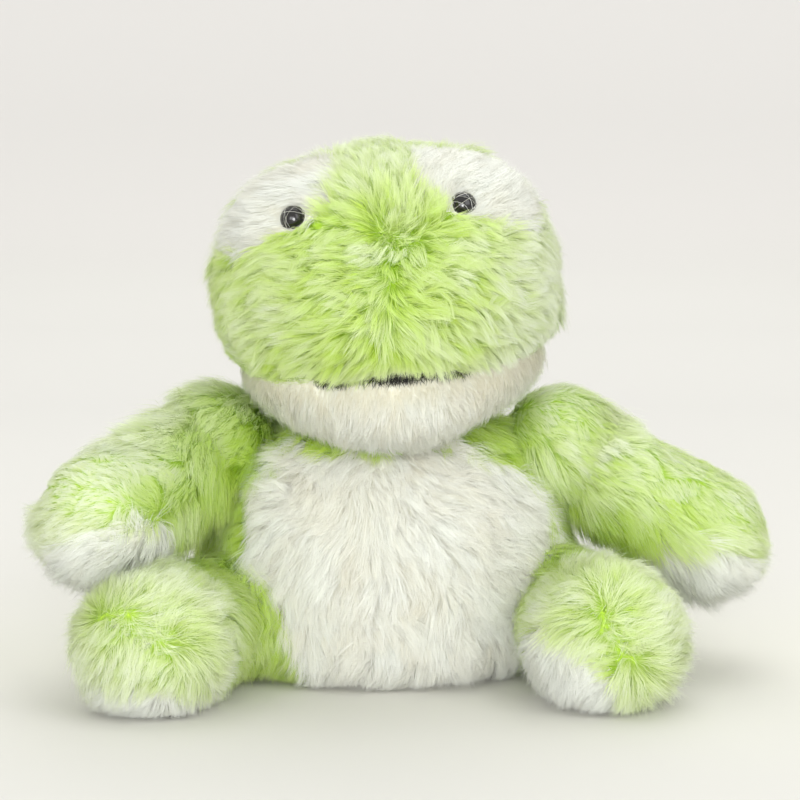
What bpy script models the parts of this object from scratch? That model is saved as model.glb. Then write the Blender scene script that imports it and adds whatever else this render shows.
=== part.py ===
"""A sitting plush frog: stuffed torso, head, arms and legs, sewn from long-pile fabric.

Metres, +Z up.  The toy faces -Y, and left and right are its own.  The origin is the centre of
the flat underside of the torso.  Each sewn panel is a shell as deep as its fabric and pile, the
fillings are solids inside the shells, and the head and limbs turn on balls in the torso.
"""

import math

import bmesh
import bpy
from mathutils import Matrix, Vector

# Fabric and clearances
FABRIC = 0.004            # depth of the backing and its packed pile
GAP = 0.0003              # between pieces that touch
SWING_GAP = 0.0006        # between a ball and the hollow it turns in
OVERRUN = 0.004           # how far a cutter reaches past what it cuts
WELD = 0.00001            # points of one piece that lie this close are one
SEAT_FLAT = 0.0005        # how deep a form is cut flat where it meets the ground
NO_LEVEL = 1e-9           # stands for nothing where a point lies on its form's axis

# Torso
TORSO_WIDTH = 0.122
TORSO_DEPTH = 0.092
TORSO_HEIGHT = 0.090
TORSO_WIDEST = 0.028      # height of the widest ring above the ground
TORSO_BASE_POWER = 0.55   # below 1 the base is boxy, as a weighted seat is
TORSO_TOP_POWER = 0.85
TORSO_TURN = math.radians(5)    # the belly looks a little to the toy's left
BELLY_WIDTH = 0.108
BELLY_DROP = 0.013        # how far below the top of the torso the belly panel ends
BELLY_BOTTOM = -0.003
BELLY_BACK = 0.020        # how far in front of the centre the panel's side seams lie
BELLY_POWER = 0.77        # below 1 the outline is fuller than an ellipse
POUCH_WIDTH = 0.076
POUCH_DEPTH = 0.058
POUCH_HEIGHT = 0.018

# Neck and head
NECK_BALL = 0.025
NECK_RISE = 0.007         # height of the neck's pivot above the top of the torso
NECK_FORWARD = 0.003
HEAD_ABOVE_NECK = 0.036
HEAD_AHEAD_OF_NECK = 0.009
HEAD_WIDTH = 0.108
HEAD_FRONT = 0.050
HEAD_BACK = 0.051
HEAD_RISE = 0.042
HEAD_DROP = 0.042
HEAD_TOP_POWER = 2.2      # 2 is an ellipse, more is boxier
HEAD_BASE_POWER = 3.2
HEAD_ROLL = math.radians(4.7)
HEAD_YAW = math.radians(0.5)
MUZZLE = 0.009            # how far the muzzle swells past the round of the head
CHIN = 0.010
MOUTH_FOLD = 0.005
EYE_MOUND = 0.006
BROW_DIP = 0.0035
CROWN = 0.003
MOUTH_DROP = 0.0255       # height of the mouth seam below the head's centre
MOUTH_FOLD_HEIGHT = 0.0055
CHIN_BACK = 0.004         # where the chin panel ends, ahead of the head's centre

# Where the head swells: spread round it, height and spread up it, all in radians
MUZZLE_ANGLES = (1.0, -0.09, 0.36)
CHIN_ANGLES = (1.05, -0.92, 0.34)
FOLD_ANGLE = 1.2
BROW_ANGLE = 0.26
CROWN_ANGLE = 0.45
MOUND_ANGLE = 0.40
BROW_SHARE = (0, -0.93, 0.36)
CROWN_SHARE = (0, 0.1, 1)

# Eyes and mouth
EYE_WIDTH = 0.0088
EYE_RISE = 0.0042         # height of the glossy dome above its rim
EYE_SINK = 0.0020         # how deep the rim sits in the pile
EYE_RIM = 0.0006          # thickness of the rim under the dome
SHANK_WIDTH = 0.0030
SHANK_END = 0.0016        # how far the shank passes its washer
WASHER_WIDTH = 0.0100
WASHER_DEPTH = 0.0012
THREAD_WIDTH = 0.0018
THREAD_ENDS = (math.radians(-33), math.radians(30))   # round the head from its front
GROOVE_STRETCH = math.radians(1)
LOWEST_SEAM = math.radians(-60)

# Arms
ARM_BALL = 0.0185
ARM_WAIST = 0.0145
ARM_REACH = 0.0770        # from the shoulder to the tip of the paw
PAW_RADIUS = 0.0190
SHOULDER_DROP = 0.0145    # how far below the top of the torso the shoulders lie
SHOULDER_STANDOFF = 0.0145
SHOULDER_FORWARD = 0.002

# Legs
LEG_BALL = 0.018
LEG_WAIST = 0.0142
LEG_REACH = 0.0670        # from the hip to the tip of the foot
FOOT_RADIUS = 0.0225
HIP_ANGLE = math.radians(29)   # round the torso from its side towards its front
HIP_STANDOFF = 0.002

# Sides: sign along X, then the pose of each limb as it lies in the sitting toy
ARM_POSES = {"left": (1, math.radians(30), math.radians(6), math.radians(20)),
             "right": (-1, math.radians(14), math.radians(52), math.radians(32))}
LEG_POSES = {"left": (1, math.radians(20), math.radians(50)),
             "right": (-1, math.radians(30), math.radians(4))}

# Panels cut as cones from the middle of a paw, foot or head
PALM_LEAN = math.radians(16)
PALM_SPREAD = math.radians(58)
SOLE_LEAN = math.radians(10)
SOLE_SPREAD = math.radians(56)
PATCH_SPREAD = math.radians(20)
EYE_SHARE = (0.530, -0.670, 0.520)
PATCH_SHARE = (0.66, -0.45, 0.60)

# Smoothness: sides and rings of each round form, then sides of a small turned piece
HEAD_MESH = (32, 20)
HEAD_CORE_MESH = (18, 12)
TORSO_MESH = (28, 16)
TORSO_CORE_MESH = (18, 11)
LIMB_MESH = (18, 14)
LIMB_CORE_MESH = (12, 10)
BALL_MESH = (20, 12)
POUCH_MESH = (20, 10)
CONE_SIDES = 20
TURNED_STEPS = 16
BELLY_SIDES = 40
DOME_STEPS = 6
THREAD_POINTS = 19
SEAM_HALVINGS = 30
SHARP_FOLD = math.radians(40)

# How far round a limb, from its tip, the tip's round ends and the root's ball starts
TIP_SHARE = 0.36
ROOT_SHARE = 0.66

PARTS = "plush_frog"
CUTTERS = "cutters"


def clear_scene():
    for old in list(bpy.data.objects):
        bpy.data.objects.remove(old, do_unlink=True)
    for name in (PARTS, CUTTERS):
        bpy.context.scene.collection.children.link(bpy.data.collections.new(name))


def material(name, colour, roughness, metallic=0.0):
    made = bpy.data.materials.new(name)
    made.use_nodes = True
    shader = made.node_tree.nodes["Principled BSDF"]
    shader.inputs["Base Color"].default_value = (*colour, 1.0)
    shader.inputs["Roughness"].default_value = roughness
    shader.inputs["Metallic"].default_value = metallic
    return made


def mesh_object(name, build):
    """A new object whose mesh is filled by build(bm), shaded smooth except at sharp folds."""
    bm = bmesh.new()
    build(bm)
    bmesh.ops.recalc_face_normals(bm, faces=bm.faces)
    mesh = bpy.data.meshes.new(name)
    bm.to_mesh(mesh)
    bm.free()
    mesh.shade_smooth()
    mesh.set_sharp_from_angle(angle=SHARP_FOLD)
    return bpy.data.objects.new(name, mesh)


def add_piece(name, made, finish, parent, matrix):
    made.name = name
    made.data.materials.append(finish)
    bpy.data.collections[PARTS].objects.link(made)
    hang(made, parent, matrix)
    return made


def add_cutter(made, parent=None, matrix=None):
    bpy.data.collections[CUTTERS].objects.link(made)
    made.hide_render = True
    made.display_type = "WIRE"
    hang(made, parent, matrix or Matrix())
    return made


def hang(made, parent, matrix):
    made.parent = parent
    made.matrix_parent_inverse = Matrix()
    made.matrix_basis = matrix


def add_pivot(name, place):
    """An empty on a joint's axis, which carries the pieces that move about it."""
    pivot = bpy.data.objects.new(name, None)
    bpy.data.collections[PARTS].objects.link(pivot)
    pivot.empty_display_size = NECK_BALL
    pivot.location = place
    return pivot


def cut(piece, other, operation="DIFFERENCE"):
    step = piece.modifiers.new(f"{operation.lower()} {other.name}", "BOOLEAN")
    step.operation = operation
    step.solver = "EXACT"
    step.object = other


def form(name, place, fineness):
    """A closed round form: each direction of a unit sphere is carried to place(direction)."""
    sides, rings = fineness

    def build(bm):
        bmesh.ops.create_uvsphere(bm, u_segments=sides, v_segments=rings, radius=1)
        for vert in bm.verts:
            vert.co = place(vert.co.normalized())
        bmesh.ops.triangulate(bm, faces=bm.faces, quad_method="FIXED")
    return mesh_object(name, build)


def ball(name, radius):
    return form(name, lambda direction: direction * radius, BALL_MESH)


def block(name, low, high):
    """A box between two corners."""
    low = Vector(low)
    high = Vector(high)

    def build(bm):
        bmesh.ops.create_cube(bm, size=1)
        for vert in bm.verts:
            vert.co = (low + high) / 2 + Matrix.Diagonal(high - low) @ vert.co
    return mesh_object(name, build)


def cone(name, height, spread, grow):
    """A solid cone about +Z from the origin, its side moved outwards by grow."""
    back = grow / math.sin(spread)

    def build(bm):
        bmesh.ops.create_cone(bm, cap_ends=True, segments=CONE_SIDES, radius1=0,
                              radius2=(height + back) * math.tan(spread),
                              depth=height + back)
        bmesh.ops.translate(bm, verts=bm.verts, vec=(0, 0, (height + back) / 2 - back))
        bmesh.ops.remove_doubles(bm, verts=bm.verts, dist=WELD)
    return mesh_object(name, build)


def turned(name, profile):
    """A solid turned about Z from (radius, height) points that run from top to bottom.

    A profile that comes back to its first point makes a ring.
    """
    closed = profile[0] == profile[-1]
    bm = bmesh.new()
    verts = [bm.verts.new((radius, 0, height)) for radius, height in profile[closed:]]
    for a, b in zip(verts, verts[1:]):
        bm.edges.new((a, b))
    if closed:
        bm.edges.new((verts[-1], verts[0]))
    mesh = bpy.data.meshes.new(name)
    bm.to_mesh(mesh)
    bm.free()
    made = bpy.data.objects.new(name, mesh)
    screw = made.modifiers.new("turn", "SCREW")
    screw.steps = TURNED_STEPS
    screw.render_steps = TURNED_STEPS
    screw.use_merge_vertices = True
    screw.merge_threshold = WELD
    screw.use_smooth_shade = True
    return made


def bell(value, spread):
    return math.exp(-(value / spread) ** 2)


def aim(direction, down):
    """A turn that carries +Z to direction, with +X on the side nearest to down."""
    axis = Vector(direction).normalized()
    side = (Vector(down) - axis * axis.dot(Vector(down))).normalized()
    return Matrix((side, axis.cross(side), axis)).transposed().to_4x4()


# Torso


def torso_place(direction, inset=0.0):
    """Boxy below its widest ring, rounder and longer above it."""
    power = TORSO_TOP_POWER if direction.z > 0 else TORSO_BASE_POWER
    height = TORSO_HEIGHT - TORSO_WIDEST if direction.z > 0 else TORSO_WIDEST + SEAT_FLAT
    level = math.hypot(direction.x, direction.y)
    reach = level ** power / max(level, NO_LEVEL)
    rise = math.copysign(abs(direction.z) ** power, direction.z)
    return Vector(((TORSO_WIDTH / 2 - inset) * direction.x * reach,
                   (TORSO_DEPTH / 2 - inset) * direction.y * reach,
                   TORSO_WIDEST + (height - inset) * rise))


def torso_ring_share(height):
    """How wide the torso is at a height above its widest ring, as a share of its widest."""
    rise = (height - TORSO_WIDEST) / (TORSO_HEIGHT - TORSO_WIDEST)
    sine = rise ** (1 / TORSO_TOP_POWER)
    return math.sqrt(1 - sine ** 2) ** TORSO_TOP_POWER


def torso_frame():
    return Matrix.Rotation(TORSO_TURN, 4, "Z")


def belly_cutter(name, grow):
    """The belly panel's outline, fuller than an ellipse, run along Y through the front."""
    top = TORSO_HEIGHT - BELLY_DROP
    middle = (top + BELLY_BOTTOM) / 2
    half = (top - BELLY_BOTTOM) / 2
    front = -(TORSO_DEPTH / 2 + OVERRUN)
    back = -BELLY_BACK + grow

    def build(bm):
        bmesh.ops.create_cone(bm, cap_ends=True, segments=BELLY_SIDES, radius1=1,
                              radius2=1, depth=1)
        for vert in bm.verts:
            x, z = vert.co.x, vert.co.y
            at_front = vert.co.z > 0
            vert.co.x = math.copysign(abs(x) ** BELLY_POWER, x) * (BELLY_WIDTH / 2 + grow)
            vert.co.z = middle + math.copysign(abs(z) ** BELLY_POWER, z) * (half + grow)
            vert.co.y = front if at_front else back
    return add_cutter(mesh_object(name, build), None, torso_frame())


def floor_cutter():
    """Everything under the ground that the sitting toy rests on."""
    reach = TORSO_WIDTH + ARM_REACH + LEG_REACH
    return add_cutter(block("under_ground", (-reach, -reach, -reach), (reach, reach, 0)))


def torso_pieces(finish, sockets, ground):
    def core(name, inset):
        return form(name, lambda d: torso_place(d, inset), TORSO_CORE_MESH)

    stand = torso_frame()
    hollow = add_cutter(core("torso_hollow", FABRIC), None, stand)
    skin = form("torso_skin", torso_place, TORSO_MESH)
    belly = form("belly_panel", torso_place, TORSO_MESH)
    add_piece("torso_skin", skin, finish["green"], None, stand)
    add_piece("belly_panel", belly, finish["white"], None, stand)
    cut(skin, belly_cutter("belly_hole", GAP))
    cut(belly, belly_cutter("belly_outline", 0.0), "INTERSECT")
    stuffing = core("torso_stuffing", FABRIC + GAP)
    add_piece("torso_stuffing", stuffing, finish["filling"], None, stand)
    for piece in (skin, belly):
        cut(piece, hollow)
        cut(piece, ground)
    for piece in (skin, belly, stuffing):
        for socket in sockets:
            cut(piece, socket)
    pouch_and_room(stuffing, finish["linen"])


def pouch_place(direction, grow):
    floor = FABRIC - SEAT_FLAT + GAP
    half = Vector((POUCH_WIDTH / 2 + grow, POUCH_DEPTH / 2 + grow, POUCH_HEIGHT + grow))
    return Vector((0, 0, floor)) + Matrix.Diagonal(half) @ direction


def pouch_and_room(stuffing, linen):
    """A flat pouch of pellets on the seat's lining, and its room under the stuffing."""
    stand = torso_frame()
    room = form("pouch_room", lambda d: pouch_place(d, GAP), POUCH_MESH)
    add_cutter(room, None, stand)
    cut(stuffing, room)
    pouch = form("weight_pouch", lambda d: pouch_place(d, 0.0), POUCH_MESH)
    add_piece("weight_pouch", pouch, linen, None, stand)
    lining = form("seat_lining", lambda d: torso_place(d, FABRIC + GAP), TORSO_CORE_MESH)
    add_cutter(lining, None, stand)
    cut(pouch, lining, "INTERSECT")


# Head


def mirrored(share, sign):
    return Vector((sign * share[0], share[1], share[2])).normalized()


def swelling(turn, rise, angles):
    spread, height, height_spread = angles
    return bell(turn, spread) * bell(rise - height, height_spread)


def head_radius(direction):
    """How far the head reaches from its centre: a round with swellings and folds."""
    x, y, z = direction
    depth = HEAD_FRONT if y < 0 else HEAD_BACK
    height = HEAD_RISE if z > 0 else HEAD_DROP
    power = HEAD_TOP_POWER if z > 0 else HEAD_BASE_POWER
    level = math.hypot(2 * x / HEAD_WIDTH, y / depth)
    plain = (level ** power + abs(z / height) ** power) ** (-1 / power)
    turn = math.atan2(x, -y)
    rise = math.asin(max(-1.0, min(1.0, z)))
    muzzle = MUZZLE * swelling(turn, rise, MUZZLE_ANGLES)
    chin = CHIN * swelling(turn, rise, CHIN_ANGLES)
    seam = bell(plain * z + MOUTH_DROP, MOUTH_FOLD_HEIGHT)
    fold = MOUTH_FOLD * bell(turn, FOLD_ANGLE) * seam
    brow = BROW_DIP * bell(direction.angle(Vector(BROW_SHARE)), BROW_ANGLE)
    crown = CROWN * bell(direction.angle(Vector(CROWN_SHARE)), CROWN_ANGLE)
    mounds = 0.0
    for sign in (-1, 1):
        away = direction.angle(mirrored(PATCH_SHARE, sign))
        mounds += EYE_MOUND * bell(away, MOUND_ANGLE)
    return plain + muzzle + chin + mounds + crown - fold - brow


def head_frame():
    """The head's centre and tilt, from the neck's pivot."""
    centre = Vector((0, -HEAD_AHEAD_OF_NECK, HEAD_ABOVE_NECK))
    return (Matrix.Translation(centre) @ Matrix.Rotation(-HEAD_ROLL, 4, "Y")
            @ Matrix.Rotation(-HEAD_YAW, 4, "Z"))


def head_place(direction, inset=0.0):
    return head_frame() @ (direction * (head_radius(direction) - inset))


def chin_cutter(name, grow, neck):
    """Everything under the mouth seam and ahead of the neck, clear of the neck's ball."""
    reach = HEAD_WIDTH
    cutter = block(name, (-reach, -reach, -reach), (reach, grow - CHIN_BACK, grow - MOUTH_DROP))
    add_cutter(cutter, neck, head_frame())
    around = ball(f"{name}_neck", NECK_BALL + GAP - 2 * grow)
    cut(cutter, add_cutter(around, neck))
    return cutter


def patch_cutter(name, sign, grow, neck):
    toward = mirrored(PATCH_SHARE, sign)
    cutter = cone(name, HEAD_WIDTH, PATCH_SPREAD, grow)
    return add_cutter(cutter, neck, head_frame() @ aim(toward, (0, 0, -1)))


def eye_levels(direction):
    """Heights along an eye's axis from the head's centre: rim, top, washer and shank end."""
    surface = head_radius(direction)
    rim = surface - EYE_SINK
    washer_top = surface - FABRIC - GAP
    washer_foot = washer_top - WASHER_DEPTH
    return rim, rim + EYE_RISE, washer_top, washer_foot, washer_foot - SHANK_END


def eye_profile(direction):
    rim, top, _, _, end = eye_levels(direction)
    arc = [math.pi / 2 * step / DOME_STEPS for step in range(DOME_STEPS + 1)]
    dome = [(EYE_WIDTH / 2 * math.sin(a), rim + (top - rim) * math.cos(a)) for a in arc]
    under = rim - EYE_RIM
    return dome + [(EYE_WIDTH / 2, under), (SHANK_WIDTH / 2, under), (SHANK_WIDTH / 2, end),
                   (0.0, end)]


def eye_room_profile(direction):
    """The eye's seat in the pile, its shank's hole and its washer's room."""
    rim, top, washer_top, _, end = eye_levels(direction)
    under = rim - EYE_RIM - GAP
    wide = EYE_WIDTH / 2 + GAP
    hole = SHANK_WIDTH / 2 + GAP
    washer = WASHER_WIDTH / 2 + GAP
    return [(0.0, top + OVERRUN), (wide, top + OVERRUN), (wide, under), (hole, under),
            (hole, washer_top + GAP), (washer, washer_top + GAP), (washer, end - GAP),
            (0.0, end - GAP)]


def filling_room_profile(direction):
    """The straight well that the washer and the shank's end take in the filling."""
    _, top, _, _, end = eye_levels(direction)
    wide = WASHER_WIDTH / 2 + GAP
    return [(0.0, top + OVERRUN), (wide, top + OVERRUN), (wide, end - GAP), (0.0, end - GAP)]


def washer_profile(direction):
    _, _, top, foot, _ = eye_levels(direction)
    inner = SHANK_WIDTH / 2 + GAP
    outer = WASHER_WIDTH / 2
    return [(inner, top), (outer, top), (outer, foot), (inner, foot), (inner, top)]


def eye_pieces(side, sign, finish, neck):
    """A patch, an eye and its washer. Returns the patch, the eye's room and the filling's well."""
    toward = mirrored(EYE_SHARE, sign)
    stand = head_frame() @ aim(toward, (0, 0, -1))
    room = add_cutter(turned(f"eye_room_{side}", eye_room_profile(toward)), neck, stand)
    eye = turned(f"eye_{side}", eye_profile(toward))
    add_piece(f"eye_{side}", eye, finish["eye"], neck, stand)
    washer = turned(f"eye_washer_{side}", washer_profile(toward))
    add_piece(f"eye_washer_{side}", washer, finish["washer"], neck, stand)
    patch = form(f"eye_patch_{side}", head_place, HEAD_MESH)
    add_piece(f"eye_patch_{side}", patch, finish["white"], neck, Matrix())
    cut(patch, patch_cutter(f"patch_outline_{side}", sign, 0.0, neck), "INTERSECT")
    cut(patch, room)
    well = turned(f"filling_well_{side}", filling_room_profile(toward))
    return patch, room, add_cutter(well, neck, stand)


def mouth_point(turn):
    """The point of the head's surface on the mouth seam at an angle round from the front."""
    low, high = LOWEST_SEAM, 0.0
    for _ in range(SEAM_HALVINGS):
        rise = (low + high) / 2
        direction = Vector((math.sin(turn) * math.cos(rise), -math.cos(turn) * math.cos(rise),
                            math.sin(rise)))
        if direction.z * head_radius(direction) > -MOUTH_DROP:
            high = rise
        else:
            low = rise
    return head_frame() @ (direction * head_radius(direction))


def thread(name, radius, stretch):
    """A round thread along the mouth seam, stretched at both ends by an angle."""
    first = THREAD_ENDS[0] - stretch
    last = THREAD_ENDS[1] + stretch
    curve = bpy.data.curves.new(name, "CURVE")
    curve.dimensions = "3D"
    curve.bevel_depth = radius
    curve.bevel_resolution = 1
    curve.use_fill_caps = True
    spline = curve.splines.new("POLY")
    spline.points.add(THREAD_POINTS - 1)
    for i, point in enumerate(spline.points):
        turn = first + (last - first) * i / (THREAD_POINTS - 1)
        point.co = (*mouth_point(turn), 1)
    return mesh_from_curve(bpy.data.objects.new(name, curve))


def mesh_from_curve(route):
    bpy.context.scene.collection.objects.link(route)
    graph = bpy.context.evaluated_depsgraph_get()
    mesh = bpy.data.meshes.new_from_object(route.evaluated_get(graph))
    bm = bmesh.new()
    bm.from_mesh(mesh)
    bmesh.ops.remove_doubles(bm, verts=bm.verts, dist=WELD)
    bm.to_mesh(mesh)
    bm.free()
    made = bpy.data.objects.new(route.name, mesh)
    bpy.data.objects.remove(route, do_unlink=True)
    return made


def head_pieces(finish, neck):
    def core(name, inset):
        return form(name, lambda d: head_place(d, inset), HEAD_CORE_MESH)

    hollow = add_cutter(core("head_hollow", FABRIC), neck)
    neck_hollow = add_cutter(ball("neck_hollow", NECK_BALL - FABRIC), neck)
    neck_outside = add_cutter(ball("neck_outside", NECK_BALL), neck)
    groove = add_cutter(thread("mouth_groove", THREAD_WIDTH / 2 + GAP, GROOVE_STRETCH), neck)

    skin = form("head_skin", head_place, HEAD_MESH)
    add_piece("head_skin", skin, finish["green"], neck, Matrix())
    cut(skin, neck_outside, "UNION")
    chin = form("chin_panel", head_place, HEAD_MESH)
    add_piece("chin_panel", chin, finish["white"], neck, Matrix())
    cut(chin, chin_cutter("chin_outline", 0.0, neck), "INTERSECT")
    stuffing = core("head_stuffing", FABRIC + GAP)
    add_piece("head_stuffing", stuffing, finish["filling"], neck, Matrix())
    cut(stuffing, add_cutter(ball("neck_filling", NECK_BALL - FABRIC - GAP), neck), "UNION")
    for piece in (skin, chin):
        cut(piece, hollow)
        cut(piece, neck_hollow)
        cut(piece, groove)
    cut(skin, chin_cutter("chin_hole", GAP, neck))
    for side, (sign, *_) in ARM_POSES.items():
        patch, room, well = eye_pieces(side, sign, finish, neck)
        cut(patch, hollow)
        cut(stuffing, well)
        cut(skin, patch_cutter(f"patch_hole_{side}", sign, GAP, neck))
        cut(skin, room)
    stitch = thread("mouth_stitch", THREAD_WIDTH / 2, 0.0)
    add_piece("mouth_stitch", stitch, finish["thread"], neck, Matrix())


# Limbs


def limb_place(direction, sizes, inset=0.0):
    """A ball about the origin, a waist, and a swelling end towards +Z."""
    root, waist, reach, tip = (size - inset for size in sizes)
    turn = math.acos(max(-1.0, min(1.0, direction.z))) / math.pi
    leave = math.asin(waist / root)
    if turn < TIP_SHARE:
        angle = turn / TIP_SHARE * math.pi / 2
        height, radius = reach - tip + tip * math.cos(angle), tip * math.sin(angle)
    elif turn > ROOT_SHARE:
        angle = leave + (turn - ROOT_SHARE) / (1 - ROOT_SHARE) * (math.pi - leave)
        height, radius = root * math.cos(angle), root * math.sin(angle)
    else:
        along = (turn - TIP_SHARE) / (ROOT_SHARE - TIP_SHARE)
        height = (reach - tip) + (root * math.cos(leave) - reach + tip) * along
        radius = tip + (waist - tip) * along ** 2
    level = max(math.hypot(direction.x, direction.y), NO_LEVEL)
    return Vector((direction.x / level * radius, direction.y / level * radius, height))


def limb_pieces(names, sizes, panel, pivot, stand, finish, ground):
    """A limb's skin, the white panel at its end and its stuffing, aimed by stand."""
    skin_name, panel_name, stuffing_name = names
    _, _, reach, tip = sizes
    lean, spread = panel
    end = stand @ Matrix.Translation((0, 0, reach - tip))
    toward = (math.cos(lean), 0, math.sin(lean))

    def shape(name, inset, fineness):
        return form(name, lambda d: limb_place(d, sizes, inset), fineness)

    def panel_cutter(label, grow):
        cutter = cone(label, tip + OVERRUN, spread, grow)
        return add_cutter(cutter, pivot, end @ aim(toward, (0, 1, 0)))

    hollow = add_cutter(shape(f"{skin_name}_hollow", FABRIC, LIMB_CORE_MESH), pivot, stand)
    skin = shape(skin_name, 0.0, LIMB_MESH)
    add_piece(skin_name, skin, finish["green"], pivot, stand)
    white = shape(panel_name, 0.0, LIMB_MESH)
    add_piece(panel_name, white, finish["white"], pivot, stand)
    stuffing = shape(stuffing_name, FABRIC + GAP, LIMB_CORE_MESH)
    add_piece(stuffing_name, stuffing, finish["filling"], pivot, stand)
    cut(skin, panel_cutter(f"{panel_name}_hole", GAP))
    cut(white, panel_cutter(f"{panel_name}_outline", 0.0), "INTERSECT")
    for piece in (skin, white):
        cut(piece, hollow)
        if ground:
            cut(piece, ground)


def shoulder(sign):
    height = TORSO_HEIGHT - SHOULDER_DROP
    across = TORSO_WIDTH / 2 * torso_ring_share(height) + SHOULDER_STANDOFF
    return torso_frame() @ Vector((sign * across, -SHOULDER_FORWARD, height))


def hip(sign):
    across = (TORSO_WIDTH / 2 + HIP_STANDOFF) * math.cos(HIP_ANGLE)
    ahead = (TORSO_DEPTH / 2 + HIP_STANDOFF) * math.sin(HIP_ANGLE)
    return torso_frame() @ Vector((sign * across, -ahead, FOOT_RADIUS - SEAT_FLAT))


def arm_stand(sign, droop, sweep, roll):
    """The arm's aim: down from level, forward from the side, and rolled palm forward."""
    toward = Vector((sign * math.cos(droop) * math.cos(sweep),
                     -math.cos(droop) * math.sin(sweep), -math.sin(droop)))
    palm = Matrix.Rotation(-roll, 3, "X") @ Vector((0, 0, -1))
    return aim(toward, palm)


def leg_stand(sign, splay, roll):
    """The leg's aim: level, splayed from straight ahead, its sole rolled inwards."""
    toward = Vector((sign * math.sin(splay), -math.cos(splay), 0))
    inward = Vector((-sign * math.cos(splay), -math.sin(splay), 0))
    sole = Vector((0, 0, -math.cos(roll))) + inward * math.sin(roll)
    return aim(toward, sole)


def socket(name, radius, place):
    made = add_cutter(ball(name, radius + SWING_GAP))
    made.location = place
    return made


def build_frog():
    finish = {
        "green": material("green_pile", (0.42, 0.66, 0.13), 0.95),
        "white": material("white_pile", (0.86, 0.86, 0.80), 0.95),
        "filling": material("fibre_filling", (0.93, 0.93, 0.91), 1.0),
        "linen": material("pouch_linen", (0.74, 0.70, 0.60), 0.9),
        "eye": material("eye_gloss", (0.012, 0.010, 0.010), 0.12),
        "washer": material("washer_plastic", (0.85, 0.85, 0.83), 0.45),
        "thread": material("mouth_thread", (0.03, 0.03, 0.03), 0.7),
    }
    ground = floor_cutter()
    neck_at = Vector((0, -NECK_FORWARD, TORSO_HEIGHT + NECK_RISE))
    sockets = [socket("neck_socket", NECK_BALL, neck_at)]
    arm_sizes = (ARM_BALL, ARM_WAIST, ARM_REACH, PAW_RADIUS)
    leg_sizes = (LEG_BALL, LEG_WAIST, LEG_REACH, FOOT_RADIUS)

    head_pieces(finish, add_pivot("neck_pivot", neck_at))
    for side, (sign, droop, sweep, roll) in ARM_POSES.items():
        place = shoulder(sign)
        sockets.append(socket(f"shoulder_socket_{side}", ARM_BALL, place))
        names = (f"arm_skin_{side}", f"palm_{side}", f"arm_stuffing_{side}")
        limb_pieces(names, arm_sizes, (PALM_LEAN, PALM_SPREAD),
                    add_pivot(f"shoulder_pivot_{side}", place),
                    arm_stand(sign, droop, sweep, roll), finish, None)
    for side, (sign, splay, roll) in LEG_POSES.items():
        place = hip(sign)
        sockets.append(socket(f"hip_socket_{side}", LEG_BALL, place))
        names = (f"leg_skin_{side}", f"sole_{side}", f"leg_stuffing_{side}")
        limb_pieces(names, leg_sizes, (SOLE_LEAN, SOLE_SPREAD),
                    add_pivot(f"hip_pivot_{side}", place),
                    leg_stand(sign, splay, roll), finish, ground)
    torso_pieces(finish, sockets, ground)


clear_scene()
build_frog()
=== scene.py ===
"""Looks for the seated plush frog: long-pile panels, eyes, thread, fillings, floor and light.

Metres, +Z up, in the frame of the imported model.  The toy faces -Y, and left and right are its own.
"""
from math import asin, ceil, cos, pi, radians, sin, sqrt
import bpy
import numpy as np
from mathutils import Matrix, Vector
from mathutils.kdtree import KDTree


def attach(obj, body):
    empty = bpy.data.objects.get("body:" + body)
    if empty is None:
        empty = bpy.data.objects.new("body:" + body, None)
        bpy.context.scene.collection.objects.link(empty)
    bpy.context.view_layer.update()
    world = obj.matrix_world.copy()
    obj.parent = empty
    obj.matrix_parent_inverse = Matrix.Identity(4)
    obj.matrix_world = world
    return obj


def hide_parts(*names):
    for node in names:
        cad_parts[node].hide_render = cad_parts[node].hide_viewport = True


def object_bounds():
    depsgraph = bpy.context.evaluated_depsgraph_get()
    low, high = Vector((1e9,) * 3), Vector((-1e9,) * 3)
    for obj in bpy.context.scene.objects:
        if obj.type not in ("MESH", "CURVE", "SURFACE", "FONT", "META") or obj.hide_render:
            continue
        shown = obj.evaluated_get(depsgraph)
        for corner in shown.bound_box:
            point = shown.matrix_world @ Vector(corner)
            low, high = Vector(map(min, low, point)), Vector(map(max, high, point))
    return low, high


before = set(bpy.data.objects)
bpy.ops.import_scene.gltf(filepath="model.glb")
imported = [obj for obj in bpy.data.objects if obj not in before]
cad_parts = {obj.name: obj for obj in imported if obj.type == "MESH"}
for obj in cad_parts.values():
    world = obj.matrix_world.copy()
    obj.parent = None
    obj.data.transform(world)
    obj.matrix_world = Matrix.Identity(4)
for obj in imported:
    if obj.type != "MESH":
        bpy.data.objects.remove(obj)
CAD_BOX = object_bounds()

SEED = 20
MM = 0.001
SIDES = (("left", 1), ("right", -1))

# Forms of the torso, the head and the limbs, the same as the solids they stand for
TORSO_HALF = (0.061, 0.046)
TORSO_HEIGHT = 0.090
TORSO_WIDEST = 0.028
TORSO_FOOT = 0.0285
TORSO_POWERS = (0.85, 0.55)
TORSO_TURN = radians(5)
BELLY_BACK = 0.020
BELLY_HALF_WIDTH = 0.054
BELLY_LEVELS = (-0.003, 0.077)
BELLY_POWER = 0.77

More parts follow.
